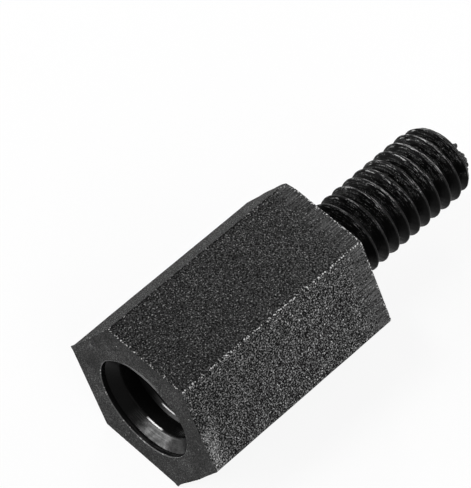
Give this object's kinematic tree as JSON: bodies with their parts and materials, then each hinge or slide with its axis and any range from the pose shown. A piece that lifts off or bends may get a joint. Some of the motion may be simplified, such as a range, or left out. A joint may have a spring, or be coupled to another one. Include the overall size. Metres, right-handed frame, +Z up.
{
  "type": "hex standoff",
  "caption": "Hexagonal spacer pillar with a threaded hole in one end and a threaded stud on the other, which holds a board or panel a fixed distance off its mounting.",
  "frame": {"origin": "on the surface that the standoff lies on, under the middle of its whole length", "axes": "+X along the standoff's own axis from the threaded hole towards the stud's tip, +Z up, square to the flat that it lies on"},
  "size_m": [0.014, 0.0064, 0.0056],
  "materials": {
    "black_nylon": "black nylon: spark-eroded grain on the flats, satin end face, glossy stud and hole"
  },
  "bodies": {
    "root": {"standoff": "black_nylon"}
  },
  "joints": []
}
